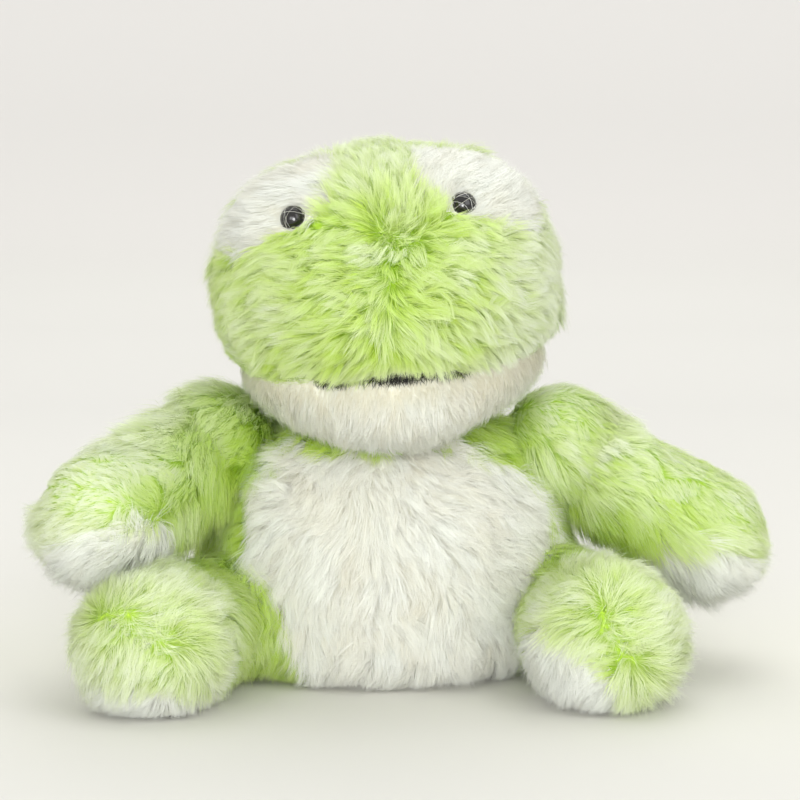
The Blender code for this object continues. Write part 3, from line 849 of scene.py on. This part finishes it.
def head_length(most):
    """Long pile but by the mouth, whose lip it just covers, round the eyes and on the cheeks."""
    def length(d, root, normal):
        x, y, z = root.T
        above = over_mouth(d)
        ahead = smooth(0.006, -0.012, y)
        middle = bell(x - 0.0042, 0.011) * (above > 0)
        high = np.abs(above) / MM
        lock = 2.2 * bell(x + 0.010, 0.007) + 1.2 * bell(x - 0.021, 0.005)
        lip = (2.1 + lock + 1.05 * high) * (1 - middle) + (0.95 * high - 0.5) * middle
        lip = np.clip(lip, 0.8, most)
        eye = np.clip(5.0 + 1.3 * (eye_room(root) - EYE_CLEAR) / MM, 5.0, most)
        cheek = 1 - 0.35 * smooth(0.132, 0.112, z) * smooth(0.034, 0.046, np.abs(x))
        crown = 1 - 0.22 * smooth(0.166, 0.177, z)
        crown = crown * (1 - 0.18 * smooth(0.040, 0.054, np.abs(x)))
        return np.minimum((most * (1 - ahead) + lip * ahead) * cheek * crown, eye)
    return length


def eyes_clear(line):
    """Leaves out hairs that cross an eye, but for a few strays."""
    ragged = 0.0006 * np.sin(9000 * line[:, :1, 0] + 7000 * line[:, :1, 2])
    return ~(eye_room(line) < EYE_CLEAR + ragged).any(1)


def white_round_eye(d, sign):
    """A patch's pile: the patch, its eye's rim, and a strip under the green on its inner side."""
    axis = mirrored(PATCH_SHARE, sign)
    off = unit(d - axis)
    inner = 0.15 * smooth(0.2, 0.8, -sign * off[:, 0]) * smooth(-0.5, 0.1, off[:, 2])
    return ((angle_to(d, axis) < PATCH_SPREAD + inner)
            | (angle_to(d, mirrored(EYE_SHARE, sign)) < 0.108))


def chin_length(d, root, normal):
    aside = smooth(0.028, 0.048, np.abs(root[:, 0])) + smooth(-0.040, -0.018, root[:, 1])
    return np.clip(1.8 + 0.6 * -over_mouth(d) / MM + 2.4 * aside, 1.8, 7.5)


def chin_tone_and_painted_lip_shade(d, root, normal):
    """Creamier right under the mouth: partly the cloth's own tone, partly painted shade under the
    lip.
    """
    return 0.05 + 0.50 * smooth(0.001, 0.011, -over_mouth(d))


def head_lift(d, root, normal):
    """Hair stands up on the muzzle and lies flatter round the sides and on the crown."""
    aside = smooth(0.038, 0.052, np.abs(root[:, 0]))
    by_eye = 1 - smooth(0.0, 0.009, eye_room(root) - EYE_CLEAR)
    crown = smooth(0.160, 0.174, root[:, 2])
    past = np.minimum(*(angle_to(d, mirrored(PATCH_SHARE, sign)) for sign in (-1, 1)))
    past = past - PATCH_SPREAD
    behind = smooth(-0.02, 0.03, past) * (1 - smooth(0.10, 0.2, past))
    behind = behind * smooth(0.155, 0.168, root[:, 2])
    return (42 + 18 * smooth(-0.03, -0.055, root[:, 1]) * (1 - aside) - 8 * aside
            - 10 * crown * (1 - behind) + 24 * behind + 18 * by_eye)


def head_tint(d, root, normal):
    # Painted light: the pile is paler on the crown and on the head's left side, where the light
    # falls.
    top = smooth(0.150, 0.176, root[:, 2])
    aside = 0.62 * smooth(0.012, 0.050, root[:, 0]) + 0.04 * smooth(0.012, 0.050, -root[:, 0])
    return 0.36 + 0.42 * top + aside * (1 - top)


def build_head(rng):
    hidden = inside_torso(0.0)

    def green(d):
        return ~(on_chin(d) | white_round_eye(d, -1) | white_round_eye(d, 1))

    def chin_flow(root, normal):
        return along_surface(DOWN + np.array((0, 0.3, 0)), normal)

    fineness = (160, 110)
    dress("head", "head", pulled_in, fineness, green, GREEN_CLOTH, "head_skin", hidden,
          head_flow, rng, length=head_length(11.5), lift=head_lift, trim=eyes_clear,
          tint=head_tint, tuft=1.6, pull=0.72, close=0.8, mess=22, wave=13, lock_pull=0.45)
    dress("chin", "head", head, fineness, on_chin, WHITE_CLOTH, "chin_panel", hidden,
          chin_flow, rng, length=chin_length, lift=46, tint=chin_tone_and_painted_lip_shade, droop=0.3, tuft=0.8,
          locks=3.0, lock_pull=0.1, pull=0.25, width=0.19, mess=8, soft=0.92, ragged=0.03)
    for side, sign in SIDES:
        dress("patch_" + side, "head", pulled_in, fineness, lambda d: white_round_eye(d, sign),
              WHITE_CLOTH, "eye_patch_" + side, hidden, head_flow, rng,
              length=head_length(10.0), trim=eyes_clear, tint=0.7, pull=0.45, soft=0.9)


# A limb's style is its flow, the lengths on its skin and its panel, lift, lie, droop and tint


def arm_style(name, aside):
    """Pile combed down and outward, low on top of the arm, and fanned on the right paw."""
    shoulder, axis, end = LIMBS[name][2], limb_axis(name), limb_end(name)
    tip = end + axis * ARM_SIZES[3]
    on_left = float(aside[0] > 0)
    plain = axis * 0.3 + aside * 0.75 + DOWN * 0.45
    fan = end + 0.019 * unit(np.array((0.71, -0.6, -0.29)))
    fan = (fan + (0.001, 0, 0.006), fan - (0.001, 0, 0.004))

    def flow(root, n):
        fanned = bell(size(root - end)[:, None], 0.026) * (1 - on_left)
        fanned = fanned * (root[:, 2:3] > end[2] - 0.008)
        return along_surface(plain * (1 - fanned) + away_from(warped(root), *fan) * fanned, n)

    def along(root):
        return (root - shoulder) @ axis

    def flat_top(root, n):
        """Where the pile lies low: on the left arm's top past its waist, and on the right paw."""
        waist = bell(along(root) - 0.0125, 0.009)
        where = (1 - waist) if on_left else smooth(0.034, 0.052, along(root))
        return smooth(0.0, 0.5, n[:, 2]) * where

    def length(d, root, n):
        under = 1 - smooth(-0.3, 0.2, n[:, 2])
        tip_share = bell(size(root - tip), 0.022)
        lower = (6.0 + 1.2 * (1 - on_left)) * flat_top(root, n)
        return (12.2 + 1.8 * under - lower) * (1 - 0.30 * tip_share)

    def lift(d, root, n):
        """The pile stands up round the narrow part past the shoulder, which it hides."""
        narrow = bell(along(root) - 0.0125, 0.008)
        near = 1 - smooth(0.018, 0.040, along(root))
        raised = smooth(0.0, 0.5, n[:, 2]) * near * (1 - on_left)
        return 40 + 18 * np.maximum(narrow, raised) - 18 * flat_top(root, n)

    def lie(d, root, n):
        return 3 + 26 * bell(along(root) - 0.010, 0.009)

    def tint(d, root, n):
        out = size(root - shoulder)
        # Painted light and shade: paler on top, and deeper underneath and on the side that faces the
        # body.
        under = 1 - smooth(-0.7, -0.1, n[:, 2])
        inner = smooth(0.1, 0.8, -(n @ aside))
        top = smooth(0.1, 0.8, n[:, 2])
        if on_left:
            base = 0.78 - 0.40 * bell(out - 0.042, 0.022)
        else:
            base = 0.36 + 0.62 * smooth(0.015, 0.055, out) + 0.2 * smooth(0.045, 0.070, out)
        return base + 0.25 * top - 0.30 * under - 0.45 * inner

    return flow, (length, length), lift, lie, 0.6, tint


FOOT_PARTINGS = {1: ((-0.37, -0.75, 0.55), (-0.05, -0.98, 0.20), (0.27, -0.90, -0.33)),
                 -1: ((-0.65, -0.58, 0.49), (-0.10, -0.90, 0.43), (0.43, -0.90, -0.04))}


def leg_style(name, aside):
    """Pile combed away from a parting on the foot, and down behind it."""
    end = limb_end(name)
    tip = end + limb_axis(name) * LEG_SIZES[3]
    parting = [end + 0.0225 * unit(np.array(way)) for way in FOOT_PARTINGS[int(aside[0])]]

    def flow(root, n):
        foot = 1 - smooth(0.034, 0.052, size(root - tip)[:, None])
        round_foot = away_from(warped(root, 0.006, 0.018), *parting) + DOWN * 0.25
        return along_surface(round_foot * foot + (DOWN + aside * 0.3) * (1 - foot), n)

    def lift(d, root, n):
        behind = smooth(0.040, 0.060, size(root - tip))
        return 40 + 16 * behind * smooth(0.02, 0.035, root[:, 2])

    def tint(d, root, n):
        # Paler on the foot, as painted light where more light falls, and deep up the leg.
        return 0.80 - 0.75 * smooth(0.032, 0.050, size(root - tip))

    return flow, (10.5, 9.5), lift, 3, 0.3, tint


def build_limb(name, rng):
    is_arm = name.startswith("arm")
    side = name.split("_")[1]
    panel = ("palm_" if is_arm else "sole_") + side
    wider = radians(9 if is_arm else 0)
    style_of = arm_style if is_arm else leg_style
    flow, (green_length, white_length), lift, lie, droop, tint = style_of(
        name, np.array((1.0 if side == "left" else -1.0, 0, 0)))
    hidden = inside_torso(0.001)

    def place(d):
        return limb(name, d)

    def white(d):
        return on_limb_panel(name, d)

    def white_pile(d):
        return on_limb_panel(name, d, wider)

    dress(name, name, place, (90, 90), lambda d: ~white(d), GREEN_CLOTH,
          name.replace("_", "_skin_"), hidden, flow, rng, hair_region=lambda d: ~white_pile(d),
          length=green_length, lift=lift, lie=lie, droop=droop, tint=tint, mess=18, wave=20,
          locks=6.5, lock_pull=0.5, pull=0.6, uneven=0.17, tilt=11, loose=0.28, ragged=0.03)
    dress(panel, name, place, (90, 90), white, WHITE_CLOTH, panel, hidden, flow, rng,
          hair_region=white_pile, length=white_length, lift=lift, droop=droop,
          tint=0.95, pull=0.5, mess=18, tilt=12, locks=6.0, lock_pull=0.4, ragged=0.03)


def turned(name, profile, sides, material):
    """A form turned about Z from (radius, height) points."""
    phi = np.arange(sides) / sides * 2 * pi
    verts = np.array([(r * cos(a), r * sin(a), z) for r, z in profile for a in phi])
    quads = ring_quads(len(profile) - 1, sides)
    made = new_object(name, new_mesh(name, verts, [quads]), material)
    weld(made, 0.00001)
    return made


EYE_RADIUS = 0.0044
EYE_RISE = 0.0042
EYE_SEAT = 0.0020  # how deep the rim of an eye sits in the head
SHANK_RADIUS = 0.0015
SHANK_END = 0.0060


def stray_hairs_and_painted_glints(side, d, rim, turn, rng):
    """A few fine white hairs that lie across an eye, partly real hairs and partly a painted
    highlight for the eye's small glints.
    """
    count, steps = 7, 5
    start = rng.uniform(0, 2 * pi, count)
    end = start + rng.uniform(1.5, 3.4, count)
    line = []
    for k in range(steps + 1):
        share = k / steps
        flat = ((1 - share) * np.column_stack((np.cos(start), np.sin(start)))
                + share * np.column_stack((np.cos(end), np.sin(end)))) * 0.0050
        level = np.minimum(size(flat) / EYE_RADIUS, 1)
        height = rim + EYE_RISE * np.sqrt(1 - level ** 2) + 0.0004
        line.append(moved(np.column_stack((flat, height)), turn, HEAD_CENTRE))
    out = np.tile(HEAD_FRAME @ d, (count, 1))
    ribbons("eye_strays_" + side, "head", WHITE, "white_pile", np.stack(line, 1), out,
            rng.uniform(-0.3, 0.3, count), rng.uniform(0.00010, 0.00022, count), rng.random(count),
            0.6, rng)


def build_eyes(rng):
    for side, sign in SIDES:
        d = mirrored(EYE_SHARE, sign)
        rim = float(head_radius(d[None])[0]) - EYE_SEAT
        arc = np.linspace(0, pi / 2, 18)
        profile = [(EYE_RADIUS * sin(a), rim + EYE_RISE * cos(a)) for a in arc]
        profile += [(EYE_RADIUS, rim - 0.0004), (EYE_RADIUS - 0.0002, rim - 0.0006),
                    (SHANK_RADIUS, rim - 0.0006), (SHANK_RADIUS, rim - SHANK_END),
                    (0.0, rim - SHANK_END)]
        made = turned("eye_dome_" + side, profile, 48, EYE_GLOSS)
        turn = HEAD_FRAME @ aim(d, (0, 0, -1))
        made.matrix_world = Matrix.Translation(HEAD_CENTRE) @ Matrix(turn).to_4x4()
        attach(made, "head")
        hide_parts("eye_" + side)
        stray_hairs_and_painted_glints(side, d, rim, turn, rng)
        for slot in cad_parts["eye_washer_" + side].material_slots:
            slot.material = WASHER_PLASTIC


MOUTH_ENDS = (radians(-33), radians(30))
# The dark places of the mouth: where they lie, in radians, how wide, and how thick or how often
DARK_YARN = ((0.03, 0.11, 0.46), (-0.42, 0.06, 0.36), (0.43, 0.10, 0.26))
DARK_FUZZ = ((0.04, 0.11, 0.50), (-0.41, 0.05, 0.28), (0.42, 0.09, 0.22))
YARNS = 3
LIP_RISE = np.array((0, 0, 0.0009))


def seam_points(turns):
    """Points of the head on the mouth seam, and their outward normals."""
    low, high = np.full(len(turns), -1.4), np.zeros(len(turns))
    for _ in range(40):
        rise = (low + high) / 2
        level = np.cos(rise)
        d = np.column_stack((np.sin(turns) * level, -np.cos(turns) * level, np.sin(rise)))
        above = over_mouth(d) > 0
        low, high = np.where(above, low, rise), np.where(above, rise, high)
    return head(d), normals(head, d)


def tube(path, radius, sides=6):
    """A closed tube along a path, as points and faces."""
    along = unit(np.gradient(path, axis=0))
    up = unit(np.cross(along, (0.0, 0.3, 1.0)))
    across = np.cross(along, up)
    phi = np.arange(sides) / sides * 2 * pi
    ring = np.cos(phi)[None, :, None] * up[:, None] + np.sin(phi)[None, :, None] * across[:, None]
    verts = (path[:, None] + np.asarray(radius)[..., None, None] * ring).reshape(-1, 3)
    return verts, ring_quads(len(path) - 1, sides)[:, [0, 3, 2, 1]]


def build_mouth(rng):
    """A dark thread of twisted yarns along the seam, with its fuzz."""
    count = 160
    turns = np.linspace(*MOUTH_ENDS, count)
    path, out = seam_points(turns)
    thick = sum((high * bell(turns - at, wide) for at, wide, high in DARK_YARN), 0.10)
    path = path + out * (0.0008 + 0.0012 * thick[:, None]) + LIP_RISE
    out = unit(out + np.array((0, -0.4, 0)))
    down = along_surface(DOWN, out)
    steps = np.arange(count)
    ends = np.minimum(1, 4 * np.minimum(steps, steps[::-1]) / count) ** 0.5
    verts, faces, total = [], [], 0
    for yarn in range(YARNS):
        phase = (steps / count * 34 * pi + yarn * 2 * pi / YARNS)[:, None]
        line = path + 0.00056 * thick[:, None] * (np.cos(phase) * out + np.sin(phase) * down)
        v, q = tube(line, 0.00078 * ends * thick + 0.00004)
        verts.append(v)
        faces.append(q + total)
        total += len(v)
    mesh = new_mesh("mouth_yarn", np.concatenate(verts), [np.concatenate(faces)])
    made = new_object("mouth_yarn", mesh, THREAD)
    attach(made, "head")
    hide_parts("mouth_stitch")
    fuzz = 1800
    at, wide, share = np.array(DARK_FUZZ).T
    place = rng.choice(len(DARK_FUZZ), fuzz, p=share)
    root, out = seam_points(np.clip(rng.normal(at[place], wide[place]), *MOUTH_ENDS))
    root = root + out * 0.0014 + rng.normal(0, 0.0005, (fuzz, 3)) + LIP_RISE
    aside = (rng.normal(0, 0.6, fuzz), np.zeros(fuzz), rng.normal(-0.35, 0.7, fuzz))
    flow = along_surface(np.column_stack(aside), out)
    line = np.stack(curves(root, out, flow, rng.uniform(0.0012, 0.0040, fuzz), np.full(fuzz, 0.7),
                           np.full(fuzz, 0.1), np.full(fuzz, 0.3), 3), 1)
    ribbons("mouth_fuzz", "head", THREAD, "mouth_thread", line, out, rng.uniform(-1, 1, fuzz),
            rng.uniform(0.00012, 0.00026, fuzz), rng.random(fuzz), 0.3, rng)


def lumpy(name, body, node, place, inset, depth, span, rng, material, fineness=(64, 48)):
    """A filling: a form with the lumps of what was pushed in by hand."""
    d, quads = sphere_grid(*fineness)
    points = place(d, inset)
    middle = points.mean(0)
    lumps = (waves(points, span, rng) + 0.5 * waves(points, span / 3, rng)) * depth - depth * 1.2
    points = points + unit(points - middle) * np.minimum(lumps, 0)[:, None]
    made = new_object(name, new_mesh(name, points, [quads]), material)
    weld(made)
    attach(made, body)
    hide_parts(node)


def torso_fill(d, inset):
    """The torso's inside, hollow where the neck and the limbs turn in it."""
    points = over_floor(moved(torso_local(d, inset), TORSO_FRAME), 0.0045)
    middle = np.array((0, 0, 0.040))
    balls = [(NECK, NECK_BALL)] + [(place, sizes[0]) for sizes, _, place, _ in LIMBS.values()]
    for centre, radius in balls:
        way = unit(middle - points)
        off = points - centre
        ahead = dot(off, way)
        depth = (radius + 0.0022) ** 2 - dot(off, off)
        push = np.sqrt(np.maximum(ahead ** 2 + depth, 0)) - ahead
        points = points + way * np.where(depth > 0, push, 0)
    return points


def pouch_form(d, inset):
    level = np.hypot(d[:, 0], d[:, 1])[:, None]
    plump = 0.018 * (1 - level ** 3) * np.sign(np.maximum(d[:, 2:3], 0))
    rim = np.hstack((d[:, 0:1] * 0.0375, d[:, 1:2] * 0.0285, 0.0040 + plump))
    return moved(rim, TORSO_FRAME)


def build_fillings(rng):
    lumpy("torso_fibre", "torso", "torso_stuffing", torso_fill, 0.0050, 0.0008, 0.02, rng, FIBRE,
          (112, 84))
    lumpy("head_fibre", "head", "head_stuffing", head, 0.0050, 0.0008, 0.02, rng, FIBRE)
    for name in LIMBS:
        lumpy(name + "_fibre", name, name.replace("_", "_stuffing_"),
              lambda d, inset: limb(name, d, inset), 0.0048, 0.0006, 0.015, rng, FIBRE,
              (40, 40))
    lumpy("pellet_pouch", "torso", "weight_pouch", pouch_form, 0.0, 0.0003, 0.005, rng, LINEN,
          (96, 48))


# Floor, light and camera


FLOOR_HALF = 9.0
BEND_START = 1.1  # where the floor starts to curve up, and how far and high it curves
BEND_REACH = 0.9
BACKDROP_TOP = 3.0
# Painted light and shade on the floor, by distance: lighter and a little warmer round the toy, where
# they lift the toy's shadow, and lighter towards the backdrop
FLOOR_PAINTED_LIGHT = ((0.0, (203, 202, 197)), (0.14, (209, 208, 203)), (0.2, (217, 216, 208)),
               (0.26, (214, 213, 208)), (0.42, (205, 204, 200)), (0.54, (208, 207, 203)),
               (0.64, (217, 216, 212)), (0.72, (221, 219, 216)), (1.0, (226, 224, 222)))


def build_stage():
    """A floor that curves up into a backdrop.  Its colour changes a little with the distance, as
    painted light and shade: lighter and a little warmer round the toy, where it lifts and warms the
    toy's shadow, and lighter towards the backdrop, where it evens out the lamps' fall-off.
    """
    pale = noise_material("pale_floor", 60, (181, 179, 172), (184, 182, 175), 0.9, 0.0001)
    nodes, link = pale.node_tree.nodes, pale.node_tree.links.new
    where = nodes.new("ShaderNodeTexCoord")
    parts = nodes.new("ShaderNodeSeparateXYZ")
    link(where.outputs["Object"], parts.inputs[0])
    near = ramp(nodes, FLOOR_PAINTED_LIGHT)
    shift = nodes.new("ShaderNodeMath")
    shift.operation = "MULTIPLY_ADD"
    shift.inputs[1].default_value = 0.4
    shift.inputs[2].default_value = 0.2
    link(parts.outputs["Y"], shift.inputs[0])
    link(shift.outputs[0], near.inputs["Fac"])
    link(near.outputs["Color"], nodes["Principled BSDF"].inputs["Base Color"])
    bend = np.linspace(0.1, pi / 2, 16)
    y = np.concatenate((np.linspace(-FLOOR_HALF, BEND_START, 12),
                        BEND_START + BEND_REACH * np.sin(bend),
                        np.full(4, BEND_START + BEND_REACH)))
    z = np.concatenate((np.zeros(12), BEND_REACH - BEND_REACH * np.cos(bend),
                        np.linspace(1.2, BACKDROP_TOP, 4)))
    verts = np.array([(x, b, c) for b, c in zip(y, z) for x in (-FLOOR_HALF, FLOOR_HALF)])
    rows = np.arange(len(y) - 1)[:, None] * 2
    quads = rows + np.array([[0, 1, 3, 2]])
    floor = new_object("floor", new_mesh("floor", verts, [quads]), pale)


def add_light(name, place, width, height, power, colour=(1.0, 1.0, 1.0), aim_at=(0, 0, 0.08)):
    data = bpy.data.lights.new(name, "AREA")
    data.shape = "RECTANGLE"
    data.size = width
    data.size_y = height
    data.energy = power
    data.color = colour
    made = linked(name, data)
    made.location = place
    made.rotation_euler = (Vector(aim_at) - Vector(place)).to_track_quat("-Z", "Y").to_euler()


def build_light():
    world = bpy.data.worlds.new("studio")
    world.use_nodes = True
    sky = world.node_tree.nodes["Background"]
    sky.inputs["Color"].default_value = (1.0, 0.996, 0.97, 1)
    sky.inputs["Strength"].default_value = 0.85
    bpy.context.scene.world = world
    cool = (0.985, 0.992, 1.0)
    add_light("key", (1.1, -1.3, 1.1), 1.3, 1.3, 10, (0.99, 0.99, 1.0))
    add_light("front", (-0.5, -2.0, 0.6), 1.6, 0.8, 15, cool)
    add_light("fill", (0.0, -1.35, 0.24), 0.4, 0.4, 6.8, cool, (0, 0, 0.07))
    add_light("top", (0.15, 0.45, 1.5), 1.2, 1.2, 7)
    add_light("back", (0.0, 0.95, 0.8), 0.9, 0.5, 2.5, aim_at=(0, 0, 0.1))


CAMERA_DISTANCE = 1.1
CAMERA_RISE = radians(9)
CAMERA_AIM = (0.0045, 0.091)  # across and up
CAMERA_LENS = 145.6


def build_camera():
    data = bpy.data.cameras.new("camera")
    data.sensor_width = 36
    data.lens = CAMERA_LENS
    data.clip_start = 0.05
    made = linked("camera", data)
    made.location = (CAMERA_AIM[0], -CAMERA_DISTANCE * cos(CAMERA_RISE),
                     CAMERA_AIM[1] + CAMERA_DISTANCE * sin(CAMERA_RISE))
    made.rotation_euler = (pi / 2 - CAMERA_RISE, 0, 0)
    bpy.context.scene.camera = made


def build_all():
    build_camera()
    build_stage()
    build_light()
    bpy.context.scene.view_settings.view_transform = "Standard"
    build_torso(np.random.default_rng(SEED))
    build_head(np.random.default_rng(SEED + 1))
    for i, name in enumerate(LIMBS):
        build_limb(name, np.random.default_rng(SEED + 2 + i))
    build_eyes(np.random.default_rng(SEED + 7))
    build_mouth(np.random.default_rng(SEED + 8))
    build_fillings(np.random.default_rng(SEED + 9))


build_all()
